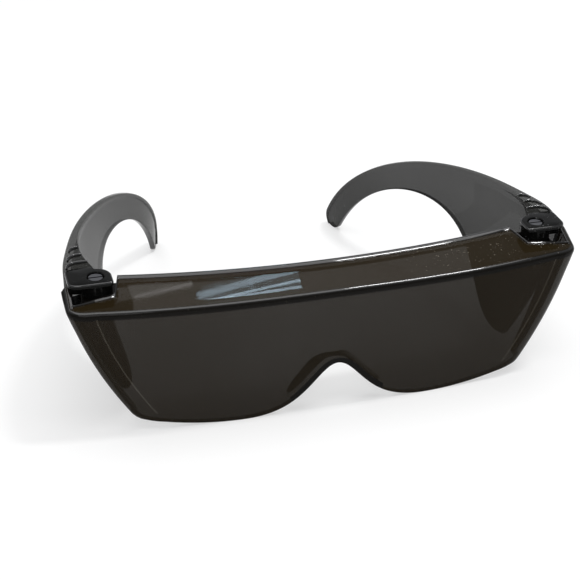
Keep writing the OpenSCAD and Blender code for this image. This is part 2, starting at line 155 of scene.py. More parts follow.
class Maker:
    """A mesh in the making, in millimetres, with a mark on every corner for the plastic's depth."""

    def __init__(self) -> None:
        """Starts an empty mesh."""
        self.bm = bmesh.new()
        self.column = self.bm.verts.layers.int.new("column")
        self.row = self.bm.verts.layers.int.new("row")
        self.depth = self.bm.loops.layers.float.new("depth")

    def grid(self, columns: int, rows: int, place: Callable[[int, int], Vector]) -> list:
        """Adds a grid and moves each of its points.

        Args:
            columns: Number of faces across.
            rows: Number of faces up.
            place: Gives the point for a column and a row.

        Returns:
            The new vertices, each marked with its column and row.
        """
        verts = bmesh.ops.create_grid(self.bm, x_segments=columns, y_segments=rows, size=1.0)["verts"]
        for vert in verts:
            i = round((vert.co.x + 1) / 2 * columns)
            j = round((vert.co.y + 1) / 2 * rows)
            vert[self.column], vert[self.row] = i, j
            vert.co = place(i, j)
        return verts

    def weld(self, verts: Iterable, distance: float = WELD) -> None:
        """Joins points that lie on each other."""
        bmesh.ops.remove_doubles(self.bm, verts=list(verts), dist=distance)

    def tube(self, count: int, rings: list[Ring], depth: Place,
             closed: bool = False) -> None:
        """Adds a skin over rings of points.

        Args:
            count: Points round each ring.
            rings: Each gives the point of its ring at an angle in radians.
            depth: The mark for the new faces.
            closed: Whether the last ring joins the first, as in a plate with a hole.
        """
        rows = len(rings) if closed else len(rings) - 1
        before = set(self.bm.faces)
        turn = 2 * math.pi / count
        verts = self.grid(count, rows, lambda i, j: rings[j % len(rings)](turn * (i % count)))
        self.weld(verts)
        made = [f for f in self.bm.faces if f not in before]
        if not closed:
            rim = {e for f in made for e in f.edges if e.is_boundary}
            made += bmesh.ops.holes_fill(self.bm, edges=list(rim), sides=0)["faces"]
        self.mark(made, depth)

    def mark(self, faces: Iterable, depth: Place) -> None:
        """Marks the corners of some faces with a depth of plastic.

        Args:
            faces: The faces.
            depth: The mark that all their corners get.
        """
        for face in faces:
            for loop in face.loops:
                loop[self.depth] = depth.value

    def soften(self, width: float, test: Callable, segments: int = 2) -> list:
        """Rounds the edges that pass a test.

        Args:
            width: Width of the rounding on each side of an edge.
            test: Says whether an edge is rounded.
            segments: Number of faces across the rounding.

        Returns:
            The new faces.
        """
        edges = [e for e in self.bm.edges if e.is_manifold and test(e)]
        return bmesh.ops.bevel(self.bm, geom=edges, offset=width, offset_type="OFFSET",
                               segments=segments, profile=0.5, affect="EDGES",
                               clamp_overlap=True, material=-1, loop_slide=True)["faces"]

    def finish(self, name: str, side: Side = Side.RIGHT,
               creases: Callable | None = None) -> bpy.types.Object:
        """Closes the making and gives the piece, in metres in the row's frame.

        Args:
            name: Name of the piece.
            side: The side it is on; shapes are drawn on the right and mirrored to the left.
            creases: Says which further edges are sharp.

        Returns:
            The new object, at the origin.
        """
        bm = self.bm
        bmesh.ops.dissolve_degenerate(bm, dist=FINE_WELD, edges=bm.edges)
        bmesh.ops.recalc_face_normals(bm, faces=bm.faces)
        for face in bm.faces:
            face.smooth = True
        for edge in bm.edges:
            sharp = edge.is_manifold and edge.calc_face_angle(0.0) > SMOOTH_LIMIT
            edge.smooth = not (sharp or (creases is not None and creases(edge)))
        move = Matrix.Translation((0, -OVERALL_LEN / 2, 0))
        scale = Matrix.Diagonal((side.value * MM, MM, MM, 1))
        bmesh.ops.transform(bm, matrix=scale @ move, verts=bm.verts)
        if side is Side.LEFT:
            bmesh.ops.reverse_faces(bm, faces=bm.faces)
        mesh = bpy.data.meshes.new(name)
        bm.to_mesh(mesh)
        bm.free()
        log.info("%s: %d faces", name, len(mesh.polygons))
        return show(name, mesh)


def show(name: str, data: bpy.types.ID) -> bpy.types.Object:
    """Puts an object in the scene.

    Args:
        name: Name of the object.
        data: The mesh, camera or lamp that it holds.

    Returns:
        The object, at the origin.
    """
    thing = bpy.data.objects.new(name, data)
    bpy.context.scene.collection.objects.link(thing)
    return thing


def polar(centre: Spot, angle: float, reach: float, z: float, sign: int = 1) -> Vector:
    """Point at a reach from a centre, with X turned round where the sign is -1."""
    x, y = centre
    return Vector((sign * (x + reach * math.cos(angle)), y + reach * math.sin(angle), z))


def quarter(angle: float) -> tuple[int, int]:
    """Quarter of a ring that an angle is in, as the signs across and along."""
    return (1 if math.cos(angle) >= 0 else -1), (1 if math.sin(angle) >= 0 else -1)


def squarish(angle: float, across: float, along: float, power: float) -> float:
    """Reach of an oval's quarter at an angle; a power of 2 is round and a high one square."""
    size = (abs(math.cos(angle)) / across) ** power + (abs(math.sin(angle)) / along) ** power
    return size ** (-1 / power)


def circle(centre: Spot, radius: float, z: float, sign: int = 1) -> Ring:
    """A level ring about a centre."""
    return lambda a: polar(centre, a, radius, z, sign)


def hexagon(centre: Spot, across: float, z: float) -> Ring:
    """A level ring with six flats, of a given width across them."""
    side, half = math.pi / 3, math.pi / 6
    return lambda a: polar(centre, a, across / 2 / math.cos((a + half) % side - half), z)


# Shapes


@dataclass(frozen=True)
class ShieldForm:
    """Sizes and surfaces of the front shield."""

    half_w: float = 80.0
    half_bottom: float = 59.5
    brow_h: float = 41.5
    wall: float = 2.0
    sweep: float = 5.5
    bend: float = 2.8
    corner_w: float = 7.5
    corner_top_d: float = 4.2
    corner_low_d: float = 2.6
    side_bow: float = 2.6
    wrap_end_y: float = 15.7
    wrap_fall: float = 10.6
    brow_depth: float = 16.0
    brow_slope: float = math.tan(math.radians(6))
    brow_edge_r: float = 1.4
    inner_edge_r: float = 0.4
    brow_rear_r: float = 380.0
    lobe_x: float = 30.0
    lobe_r: float = 115.0
    lobe_corner_r: float = 6.5
    deepest_y: float = 20.0
    bridge_h: float = 16.0
    bridge_half_w: float = 12.2
    bridge_depth: float = 5.5
    bridge_ridge: float = 0.35
    bridge_reach: float = 15.7
    flange_t: float = 1.8

    def side_x(self, share: float) -> float:
        """Half width at a share of the height."""
        bow = self.side_bow * 4 * share * (1 - share)
        return mix(self.half_bottom, self.half_w, share) + bow

    def brow_z(self, y: float) -> float:
        """Height of the brow shelf's top face."""
        return self.brow_h + self.brow_slope * y

    @property
    def above_brow(self) -> float:
        """A height that no point of the brow shelf is above."""
        return self.brow_z(self.deepest_y)

    def front_y(self, x: float) -> float:
        """Front curve seen from above."""
        return self.sweep * (abs(x) / self.half_w) ** self.bend

    def corner_d(self, share: float) -> float:
        """Depth of the wrapped corner at a share of the height."""
        return mix(self.corner_low_d, self.corner_top_d, share)

    def wrap_y(self, z: float) -> float:
        """Rear end of the side wraps at a height."""
        return self.wrap_end_y - self.wrap_fall * max(0.0, 1 - z / self.brow_h) ** 2

    def lobe_edge(self, x: float) -> float:
        """Lower edge of the lens outside its lowest point."""
        return (x - self.lobe_x) ** 2 / (2 * self.lobe_r)

    def lower_edge(self, x: float) -> float:
        """Lower edge of the lens, seen from the front.

        Args:
            x: Place across, from the middle.

        Returns:
            Height of the edge there.
        """
        x = abs(x)
        if x >= self.lobe_x:
            return self.lobe_edge(x)
        return self.bridge_h * (1 - (x / self.lobe_x) ** 2) ** 2 / (1 + (x / self.bridge_half_w) ** 2)

    @property
    def side_lean(self) -> float:
        """Angle of the slanted side at the lower corner."""
        return math.atan((self.half_w - self.half_bottom + 2 * self.side_bow) / self.brow_h)

    @property
    def corner_centre(self) -> Spot:
        """Centre of the lower corner's radius, as X and Z."""
        z = self.lobe_edge(self.half_bottom) + self.lobe_corner_r
        return self.side_x(z / self.brow_h) - self.lobe_corner_r / math.cos(self.side_lean), z

    def in_lens(self, x: float, z: float) -> bool:
        """Whether a point, seen from the front, is above the lens's lower edge.

        Args:
            x: Place across, from the middle.
            z: Height.

        Returns:
            Whether it is.
        """
        corner_x, corner_z = self.corner_centre
        if z >= corner_z - self.lobe_corner_r * math.sin(self.side_lean) or x <= corner_x:
            return z >= self.lower_edge(x)
        return (x - corner_x) ** 2 + (z - corner_z) ** 2 <= self.lobe_corner_r ** 2

    def bridge_y(self, x: float) -> float:
        """Rear edge of the nose bridge flange.

        Args:
            x: Place across, from the middle.

        Returns:
            Distance of the edge behind the front of the lens.
        """
        share = min(abs(x) / self.bridge_reach, 1.0)
        flank = self.bridge_ridge + (1 - self.bridge_ridge) * ease(2 * share)
        return self.wall + self.bridge_depth * flank * math.sqrt(1 - share ** 4)


@dataclass(frozen=True)
class HingeForm:
    """Sizes of the hinges, on the right."""

    x: float = 70.0
    y: float = 16.5
    knuckle_r: float = 4.8
    lug_t: float = 3.2
    lug_drop: float = 1.25
    lower_leaf_t: float = 3.0
    block_rise: float = 4.2
    block_run: float = 6.0
    cap_t: float = 1.4
    cheek_gap: float = 0.6
    slide_gap: float = 0.15
    pocket_gap: float = 0.25
    pocket_turn: float = math.radians(17)
    pocket_room: float = 2.2
    screw_r: float = 1.0
    screw_head_r: float = 2.1
    well_depth: float = 1.6
    well_gap: float = 0.4
    nut_af: float = 4.0
    nut_t: float = 1.6
    nut_recess: float = 0.15
    run_clear: float = 0.05
    seat_clear: float = 0.03
    brow_z: float = ShieldForm().brow_z(y)

    @property
    def centre(self) -> Spot:
        """The screw's place, seen from above."""
        return self.x, self.y

    @property
    def block_top(self) -> float:
        """Top of the hinge block."""
        return self.brow_z + self.block_rise

    @property
    def well_floor(self) -> float:
        """Floor of the well that takes the screw head."""
        return self.block_top - self.well_depth

    @property
    def cap_z(self) -> float:
        """Underside of the block where it stands over the shelf."""
        return self.block_top - self.cap_t

    @property
    def lug_top(self) -> float:
        """Top of the shield's lug."""
        return self.brow_z - self.lug_drop

    @property
    def lug_bottom(self) -> float:
        """Underside of the shield's lug."""
        return self.lug_top - self.lug_t

    @property
    def leaf_top(self) -> float:
        """Top of the lower leaf."""
        return self.lug_bottom - self.slide_gap

    @property
    def leaf_bottom(self) -> float:
        """Underside of the lower leaf."""
        return self.leaf_top - self.lower_leaf_t

    def pocket_front(self, x: float) -> float:
        """Front edge of the pocket in the brow shelf, at a place across."""
        reach = (self.knuckle_r + self.pocket_gap) / math.cos(self.pocket_turn)
        return self.y - reach - (x - self.x) * math.tan(self.pocket_turn)


# Reach of the lug across and along, and its squareness, by quarter
LUG_REACH = {(-1, -1): (9.6, 11.0, 8), (1, -1): (4.4, 10.5, 5),
             (1, 1): (4.8, 4.8, 2), (-1, 1): (9.6, 4.3, 6)}


@dataclass
class FrontShield:
    """The tinted moulding: lens, brow shelf, side wraps, nose bridge and hinge lugs."""

    form: ShieldForm = field(default_factory=ShieldForm)
    hinge: HingeForm = field(default_factory=HingeForm)
    lens_rows: int = 24
    edge_rows: int = 5
    shelf_rows: int = 11
    lip_w: float = 2.1
    lip_h: float = 0.6
    lip_rise: tuple[float, ...] = (0.5, 1.0, 1.02, 0.85)
    lip_share: float = 0.3
    side_gap: float = 0.1
    shade_rows: int = 3
    level_rounds: int = 3
    notch_columns: int = 28
    notch_share: float = 0.54
    lens_columns: int = 9
    pocket_columns: int = 3
    lug_columns: int = 4
    side_columns: int = 3
    corner_turns: tuple[float, ...] = (13, 26, 39, 52, 65, 77, 84, 90)
    shelf_turns: int = 6
    edge_gaps: tuple[float, ...] = (0.0, 0.6, 1.1)
    widen_from: float = 0.8
    crease_w: float = 0.4
    rim_round: float = 0.3
    flange_least: float = 0.3
    flange_front: float = 0.5
    lug_points: int = 72

    def __post_init__(self) -> None:
        """Lays out the columns of one half, from the middle to the rear of the side wrap."""
        form, hinge = self.form, self.hinge
        flat_w = form.half_w - form.corner_w
        inner_x = hinge.x - hinge.knuckle_r
        rear, inner = (inner_x - hinge.pocket_room) / flat_w, inner_x / flat_w

        def spread(low: float, high: float, columns: int) -> list[float]:
            """Even shares from low up to, but not at, high."""
            return [mix(low, high, i / columns) for i in range(columns)]

        self.fronts = spread(0.0, self.notch_share, self.notch_columns)
        self.fronts += spread(self.notch_share, rear, self.lens_columns)
        self.rear_last = len(self.fronts)
        self.fronts += spread(rear, inner, self.pocket_columns)
        self.pocket_first = len(self.fronts)
        self.fronts += spread(inner, 1.0, self.lug_columns) + [1.0]
        self.crease = len(self.fronts) - 1
        self.arcs = [math.radians(a) for a in self.corner_turns]
        self.shelf_last = self.crease + self.shelf_turns
        self.half = self.crease + len(self.arcs) + self.side_columns
        self.lows = [self._low_z(k) for k in range(self.half + 1)]

    def _level(self, k: int, z: float, inset: float) -> Spot:
        """Point of a column at a height.

        Args:
            k: Column, counted from the middle.
            z: Height.
            inset: Distance inside the outer face.

        Returns:
            The point's X and Y.
        """
        form = self.form
        x = y = 0.0
        for _ in range(self.level_rounds):
            share = min(z / form.brow_z(y), 1.0)
            width = form.side_x(share)
            depth = form.corner_d(share)
            flat = width - form.corner_w
            corner_y = form.front_y(flat) + depth
            if k <= self.crease:
                x = flat * self.fronts[k]
                y = form.front_y(x) + inset
            elif k <= self.crease + len(self.arcs):
                a = self.arcs[k - self.crease - 1]
                x = flat + (form.corner_w - inset) * math.sin(a)
                y = corner_y - (depth - inset) * math.cos(a)
            else:
                x = width - inset
                run = (k - self.crease - len(self.arcs)) / self.side_columns
                y = mix(corner_y, form.wrap_y(z), run)
        return x, y

    def _low_z(self, k: int) -> float:
        """Height at which a column meets the lens's lower edge."""
        form = self.form
        return solve(lambda z: form.in_lens(self._level(k, z, 0.0)[0], z), 0.0, form.brow_h / 2)

    def _crest_z(self, k: int, y: float) -> float:
        """Height of a column's top: the brow shelf, or the raised rear corner of the side wrap.

        Args:
            k: Column, counted from the middle.
            y: Distance behind the brow edge.

        Returns:
            The height.
        """
        form, hinge = self.form, self.hinge
        shelf_z = form.brow_z(y)
        if k <= self.shelf_last:
            return shelf_z
        start = self._level(self.shelf_last, shelf_z, 0.0)[1]
        share = (y - start) / (form.wrap_end_y - start)
        return mix(form.brow_z(start), hinge.cap_z - hinge.cheek_gap, share)

    def _rear(self, k: int, limit: float) -> Spot:
        """Where a column's shelf ends: on the rear edge, or on the hinge pocket's edge.

        Args:
            k: Column, counted from the middle.
            limit: Furthest X of the shelf.

        Returns:
            The place's X and Y.
        """
        form, hinge = self.form, self.hinge

        def rear_edge(x: float) -> Spot:
            """Place on the curved rear edge of the shelf."""
            return x, form.brow_depth + form.brow_rear_r - math.sqrt(form.brow_rear_r ** 2 - x * x)

        if k <= self.rear_last:
            return rear_edge((form.half_w - form.corner_w) * self.fronts[k])
        start = rear_edge(hinge.x - hinge.knuckle_r - hinge.pocket_room)
        corner_x = hinge.x - hinge.knuckle_r
        corner = (corner_x, hinge.pocket_front(corner_x))
        if k <= self.pocket_first:
            share = (k - self.rear_last) / (self.pocket_first - self.rear_last)
            return mix(start[0], corner[0], share), mix(start[1], corner[1], share)
        share = (k - self.pocket_first) / (self.shelf_last - self.pocket_first)
        x = min(mix(corner_x, limit, share), limit)
        return x, hinge.pocket_front(x)

    def point(self, i: int, j: int, inner: bool) -> Vector:
        """Point of the outer or the inner skin.

        Args:
            i: Column, from the left side wrap to the right one.
            j: Row, up the lens, over the brow edge and back along the shelf.
            inner: Whether it is the inner skin's point.

        Returns:
            The point.
        """
        form = self.form
        k = abs(i - self.half)
        sign = 1 if i >= self.half else -1
        wall = form.wall if inner else 0.0
        round_r = form.inner_edge_r if inner else form.brow_edge_r
        roof = 0.0 if inner and k > self.shelf_last else wall
        crest = self._crest_z(k, self._level(k, form.above_brow, wall)[1])
        if j <= self.lens_rows:
            low = self.lows[k]
            top = crest - roof - round_r
            band = self._band(k)
            below, last_gap = self.lens_rows - j, len(self.edge_gaps) - 1
            if j == 0:
                z = low
            elif below < last_gap:
                z = top - self.edge_gaps[below]
            else:
                z = mix(low + band, top - self.edge_gaps[-1], (j - 1) / (self.lens_rows - last_gap - 1))
            x, y = self._level(k, z, wall)
            if k > self.crease:
                lift = ease((z / form.brow_h - self.widen_from) / (1 - self.widen_from))
                x += (form.half_w - form.side_x(1 - form.brow_edge_r / form.brow_h)) * lift
            return Vector((sign * x, y, z))
        edge = min((j - self.lens_rows) / self.edge_rows, 1.0) * math.pi / 2
        inset = wall + round_r * (1 - math.cos(edge)) * (roof == wall)
        x, y = self._level(k, form.above_brow, inset)
        z = self._crest_z(k, y) - roof - round_r * (1 - math.sin(edge))
        if j > self.lens_rows + self.edge_rows:
            limit = self._level(self.shelf_last, form.above_brow, wall + round_r)[0] - self.side_gap
            start, rear = Vector((x, y)), Vector(self._rear(k, limit))
            lip = min(self.lip_w / (rear - start).length, self.lip_share)
            step = j - self.lens_rows - self.edge_rows
            past = step - self.shelf_rows + len(self.lip_rise)
            flat = min(step / (self.shelf_rows - len(self.lip_rise)), 1.0)
            x, y = start.lerp(rear, (1 - lip) * flat + lip * max(past, 0) / len(self.lip_rise))
            z = form.brow_z(y) - wall
            if past > 0 and not inner:
                z += self.lip_h * self.lip_rise[past - 1]
        return Vector((sign * x, y, z))

    def _band(self, k: int) -> float:
        """Height of the lowest row, which is the thickness of the nose bridge flange.

        Args:
            k: Column, counted from the middle.

        Returns:
            The height.
        """
        form, near = self.form, 0.1
        if k > self.crease:
            return form.flange_t
        x = self._level(k, self.lows[k], 0.0)[0]
        rise = (form.lower_edge(x + near) - form.lower_edge(x - near)) / (2 * near)
        return form.flange_t * math.sqrt(1 + rise * rise)

    def build(self) -> bpy.types.Object:
        """Makes the shield's mesh.

        Returns:
            The dressed shield's object.
        """
        maker = Maker()
        bm = maker.bm
        rows = self.lens_rows + self.edge_rows + self.shelf_rows
        maker.grid(2 * self.half, rows, lambda i, j: self.point(i, j, False))
        spare = [f for f in bm.faces
                 if max(abs(v[maker.column] - self.half) for v in f.verts) > self.shelf_last
                 and min(v[maker.row] for v in f.verts) >= self.lens_rows + self.edge_rows]
        bmesh.ops.delete(bm, geom=spare, context="FACES")
        outer = set(bm.faces)
        made = bmesh.ops.extrude_face_region(bm, geom=list(outer), use_keep_orig=True)["geom"]
        inner = {g for g in made if isinstance(g, bmesh.types.BMFace)}
        for vert in (g for g in made if isinstance(g, bmesh.types.BMVert)):
            vert.co = self.point(vert[maker.column], vert[maker.row], True)
        maker.mark((f for f in bm.faces if f not in inner and f not in outer), Place.EDGE)
        self._darken_brow_edge(maker)
        self._add_bridge(maker, inner)
        self._light_creases(maker, outer)
        bmesh.ops.recalc_face_normals(bm, faces=bm.faces)
        maker.soften(self.rim_round, self._is_rim)
        for sign in (1, -1):
            self._add_lug(maker, sign)

        def creases(edge: bmesh.types.BMEdge) -> bool:
            """Whether an edge runs down the lens where it meets the wrapped corner."""
            return all(abs(v[maker.column] - self.half) == self.crease
                       and 0 < v[maker.row] <= self.lens_rows for v in edge.verts)

        return maker.finish("tinted_shield", creases=creases)

    def _darken_brow_edge(self, maker: Maker) -> None:
        """Marks the rounded brow edge and the shelf's rear lip, which are darkened: partly for the
        depth of plastic that light crosses there, partly as painted shade, a dark band under the brow
        edge's highlight and a dark rim along the lip.

        Args:
            maker: The mesh in the making.
        """
        for face in maker.bm.faces:
            for loop in face.loops:
                up = loop.vert[maker.row] - self.lens_rows
                if -1 <= up < self.edge_rows:
                    loop[maker.depth] = (Place.SHADE if up < self.shade_rows else Place.EDGE).value
                elif up > self.edge_rows + self.shelf_rows - len(self.lip_rise):
                    loop[maker.depth] = Place.EDGE.value

    def _light_creases(self, maker: Maker, outer: set) -> None:
        """Rounds the creases down both sides of the lens and paints the rounding lighter and clearer, a
        painted highlight along each crease.

        Args:
            maker: The mesh in the making.
            outer: Faces of the outer skin.
        """

        def on_crease(edge: bmesh.types.BMEdge) -> bool:
            """Whether an edge of the outer skin lies on a crease, above the lowest rows."""
            return (all(f in outer for f in edge.link_faces)
                    and all(abs(v[maker.column] - self.half) == self.crease
                            and 2 <= v[maker.row] < self.lens_rows for v in edge.verts))

        maker.mark(maker.soften(self.crease_w / 2, on_crease, 1), Place.CREASE)

    def _is_rim(self, edge: bmesh.types.BMEdge) -> bool:
        """Whether an edge is a sharp one with room on both sides to be rounded."""
        near = [e.calc_length() for v in edge.verts for e in v.link_edges]
        return edge.calc_face_angle(0.0) >= SHARP_RIM and min(near) > RIM_ROOM

    def _add_bridge(self, maker: Maker, inner: set) -> None:
        """Draws the flange of the nose bridge back from the lens's lower edge.

        Args:
            maker: The mesh in the making.
            inner: Faces of the inner skin.
        """
        form = self.form

        def lowest(face: bmesh.types.BMFace) -> bool:
            """Whether a face is in the lowest row, over the nose."""
            return all(v[maker.row] <= 1 and abs(v.co.x) <= form.bridge_reach for v in face.verts)

        band = [f for f in inner if lowest(f)]
        made = bmesh.ops.extrude_face_region(maker.bm, geom=band)["geom"]
        bmesh.ops.delete(maker.bm, geom=band, context="FACES_ONLY")
        for vert in (g for g in made if isinstance(g, bmesh.types.BMVert)):
            vert.co.y = max(form.bridge_y(vert.co.x), vert.co.y + self.flange_least)
        maker.mark((g for g in made if isinstance(g, bmesh.types.BMFace)), Place.EDGE)
        front = form.wall + self.flange_front
        lip = [f for f in maker.bm.faces if lowest(f) and all(v.co.y < front for v in f.verts)]
        maker.mark(lip, Place.SHADE)

    def _add_lug(self, maker: Maker, sign: int) -> None:
        """Adds the lug that carries a hinge screw.

        Args:
            maker: The mesh in the making.
            sign: 1 on the right and -1 on the left.
        """
        hinge = self.hinge

        def outline(z: float, grow: float) -> Ring:
            """Ring of the lug's outline at a height, grown by a width."""
            return lambda a: polar(hinge.centre, a, squarish(a, *LUG_REACH[quarter(a)]) + grow, z, sign)

        top, bottom = hinge.lug_top, hinge.lug_bottom
        bore = hinge.screw_r + hinge.run_clear
        rings = [outline(top - CHAMFER, 0), outline(top, -CHAMFER),
                 circle(hinge.centre, bore, top, sign), circle(hinge.centre, bore, bottom, sign),
                 outline(bottom, -CHAMFER), outline(bottom + CHAMFER, 0)]
        maker.tube(self.lug_points, rings, Place.BLOCK, closed=True)


@dataclass
class Temple:
    """One temple: side panel, top shelf with ribs, arm, tip and hinge block."""

    side: Side
    form: ShieldForm = field(default_factory=ShieldForm)
    hinge: HingeForm = field(default_factory=HingeForm)
    wall: float = 1.9
    panel_low: float = 7.0
    tip_x: float = 37.0
    tip_half_w: float = 4.4
    ear_pull_h: float = 50.0
    flush_step: float = 0.5
    butt_gap: float = 0.3
    shelf_w: float = 10.0
    shelf_t: float = 1.4
    shelf_end_y: float = 54.0
    shelf_fall: float = 1.9
    shelf_drop: float = 2.2
    bead: float = 0.5
    top_edge: float = 0.8
    rib_count: int = 3
    rib_pitch: float = 5.8
    first_rib: float = 4.4
    rib_h: float = 0.7
    rib_w: float = 1.1
    rib_turn: float = 3.2
    rib_inset: float = 0.2
    rib_straight: float = 0.6
    rib_start: float = 0.12
    rib_run: float = 0.76
    rib_steps: int = 5
    rib_turns: tuple[float, ...] = (15, 30, 45, 60, 75, 90)
    rib_points: int = 16
    ear_out: float = 6.6
    ear_share: float = 0.72
    waist_share: float = 0.23
    pull_in: float = 4.5
    pull_out: float = 13.5
    waist_rise: float = 2.7
    back_rise: float = 11.8
    waist_swell: float = 5.4
    back_half: float = 2.0
    lean_swell: float = 0.08
    lean_swell_end: float = 0.6
    upright_from: float = 0.86
    turn_share: float = 0.3
    tilt_share: float = 0.35
    bow_share: float = 0.5
    sole_r: float = 0.45
    sole_mid: float = 0.14
    sole_points: int = 4
    edge_turns: tuple[float, ...] = (22, 45, 68)
    corner_share: float = 0.3
    nose_r: float = 0.45
    fillet_r: float = 0.9
    least_fillet: float = 0.05
    wall_steps: int = 12
    shelf_steps: int = 6
    stations: int = 84
    station_power: float = 1.15
    tip_steps: int = 12
    tip_turn: float = math.radians(86)
    block_round: float = 0.45
    block_turns: tuple[float, ...] = (0, 30, 60, 90)
    round_power: float = 2.0
    corner_power: float = 4.5
    square_power: float = 9.0
    small_edge: float = 0.2
    rim_room: float = 0.1
    block_points: int = 96

    def __post_init__(self) -> None:
        """Works out the pulls on the centre line."""
        form, hinge = self.form, self.hinge
        self.panel_y = form.wrap_end_y + self.butt_gap
        self.front_half_h = (hinge.block_top - self.shelf_drop - self.panel_low) / 2
        low_x, top_x = self.panel_x(self.panel_low), self.panel_x(form.brow_h)
        self.front_lean = (top_x - low_x) / (2 * self.front_half_h)
        ear_x = self.tip_x + self.ear_out
        ear_y = self.panel_y + self.ear_share * (OVERALL_LEN - 2 * self.tip_half_w - self.panel_y)
        run = Vector((4 * (self.tip_x - ear_x), 3 * (OVERALL_LEN - self.tip_half_w - ear_y)))
        tip_y = OVERALL_LEN - (self.tip_half_w * run.y + self.top_edge * run.x) / run.length
        waist_y = self.panel_y + self.waist_share * (tip_y - self.panel_y)
        mid_z = self.panel_low + self.front_half_h
        self.xs = [(low_x + top_x) / 2, hinge.x - self.pull_in, hinge.x + self.pull_out, ear_x,
                   self.tip_x]
        self.ys = [self.panel_y, waist_y, ear_y, tip_y]
        self.zs = [mid_z, mid_z + self.waist_rise, mid_z + self.back_rise, self.ear_pull_h,
                   self.tip_half_w]
        self.halves = [self.front_half_h, self.front_half_h + self.waist_swell, self.back_half,
                       self.tip_half_w, self.tip_half_w]

    def panel_x(self, z: float) -> float:
        """Outer face of the side panel at its front."""
        return self.form.side_x(min(1.0, z / self.form.brow_h)) - self.flush_step

    def _ahead(self, t: float) -> Vector:
        """Step of the centre line about a share of its length.

        Args:
            t: Share of the centre line.

        Returns:
            The step, which points to the tip.
        """
        near = 0.01
        return Vector([curve(pulls, t + near) - curve(pulls, t - near)
                       for pulls in (self.xs, self.ys, self.zs)])

    def _lean(self, t: float) -> float:
        """Lean of the wall: how far it goes outwards for each step up."""
        more = self.lean_swell * math.sin(math.pi * min(1.0, t / self.lean_swell_end))
        return (self.front_lean + more) * (1 - ease(t / self.upright_from))

    def shelf_width(self, y: float) -> float:
        """Width of the top shelf, which narrows to a bead along the arm.

        Args:
            y: Distance behind the brow edge.

        Returns:
            The width.
        """
        back = self.hinge.y + self.hinge.knuckle_r
        left = min(1.0, max(0.0, (self.shelf_end_y - y) / (self.shelf_end_y - back)))
        least = self.wall + self.bead
        return least + (self.shelf_w - least) * left ** self.shelf_fall

    def point(self, t: float, q: float, d: float, along: float = 0.0,
              half: float | None = None) -> Vector:
        """Point of the temple.

        Args:
            t: Share of the centre line.
            q: Share of the height of the section.
            d: Distance inside the outer face.
            along: Distance further along the centre line, for the rounded tip.
            half: Half the section's height, where it isn't the centre line's own.

        Returns:
            The point.
        """
        half = curve(self.halves, t) if half is None else half
        step = self._ahead(t)
        flat = math.hypot(step.x, step.y)
        rise = math.atan2(step.z, flat)
        way = Vector((step.x / flat * ease(t / self.turn_share), step.y / flat)).normalized()
        tilt = rise * ease(t / self.tilt_share)
        up = half * (2 * q - 1)
        bow = self.form.side_bow * 4 * q * (1 - q) * (1 - ease(t / self.bow_share))
        out = up * self._lean(t) + bow - d
        on = along * math.cos(rise) - up * math.sin(tilt)
        return Vector((curve(self.xs, t) + way.y * out + way.x * on,
                       curve(self.ys, t) - way.x * out + way.y * on,
                       curve(self.zs, t) + up * math.cos(tilt) + along * math.sin(rise)))

    def section(self, shelf: float, height: float) -> list[Spot]:
        """Outline of the wall with its top shelf.

        Args:
            shelf: Width of the top shelf.
            height: Height of the section.

        Returns:
            Share of the height and distance inside the outer face, point by point, once round
            from the outer face's foot.
        """
        def share(mm: float) -> float:
            """A length as a share of the height, less than half."""
            return min(mm / height, 0.45)

        def line(start: float, end: float, steps: int) -> list[float]:
            """Even steps from one value to another."""
            return [mix(start, end, i / steps) for i in range(steps + 1)]

        corner, foot = self.corner_share, share(self.sole_r)
        thick = min(self.shelf_t, 0.6 * height / 2)
        under = 1 - share(thick)
        fillet = max(self.least_fillet, min(self.fillet_r, (shelf - self.wall) * 0.45))
        nose = min(self.nose_r, thick * 0.4)
        edge = min(self.top_edge, height / 4)
        outer = [(q, 0.0) for q in line(foot, 1 - share(edge), self.wall_steps)]
        rounding = [(1 - share(edge * (1 - math.sin(a))), edge * (1 - math.cos(a)))
                    for a in map(math.radians, self.edge_turns)]
        top = [(1.0, d) for d in line(edge, shelf - nose, self.shelf_steps)]
        lip = [(1 - share(nose * corner), shelf - nose * corner), (1 - share(nose), shelf),
               (under + share(nose), shelf), (under + share(nose * corner), shelf - nose * corner)]
        below = [(under, d) for d in line(shelf - nose, self.wall + fillet, self.shelf_steps)]
        hollow = [(under - share(fillet * corner), self.wall + fillet * corner)]
        inner = [(q, self.wall) for q in line(under - share(fillet), foot, self.wall_steps)]
        sole = [(foot * corner, self.wall - self.sole_mid), (0.0, self.wall - self.sole_r),
                (0.0, self.sole_r), (foot * corner, self.sole_mid)]
        return outer + rounding + top + lip + below + hollow + inner + sole

    def _shell(self, maker: Maker) -> None:
        """Adds the panel, the arm and the rounded tip.

        Args:
            maker: The mesh in the making.
        """
        rows: list[Triple] = []
        for i in range(self.stations + 1):
            t = (i / self.stations) ** self.station_power
            rows.append((t, 0.0, curve(self.halves, t)))
        for i in range(1, self.tip_steps + 1):
            a = self.tip_turn * i / self.tip_steps
            rows.append((1.0, self.tip_half_w * math.sin(a), self.tip_half_w * math.cos(a)))
        sections = [self.section(self.shelf_width(curve(self.ys, t)), 2 * half) for t, _, half in rows]
        count = len(sections[0])

        def place(i: int, j: int) -> Vector:
            """Point of the section's outline in a row.

            Args:
                i: Point of the outline.
                j: Row, from the front to the tip.

            Returns:
                The point.
            """
            t, along, half = rows[j]
            q, d = sections[j][i % count]
            return self.point(t, q, d, along, half)

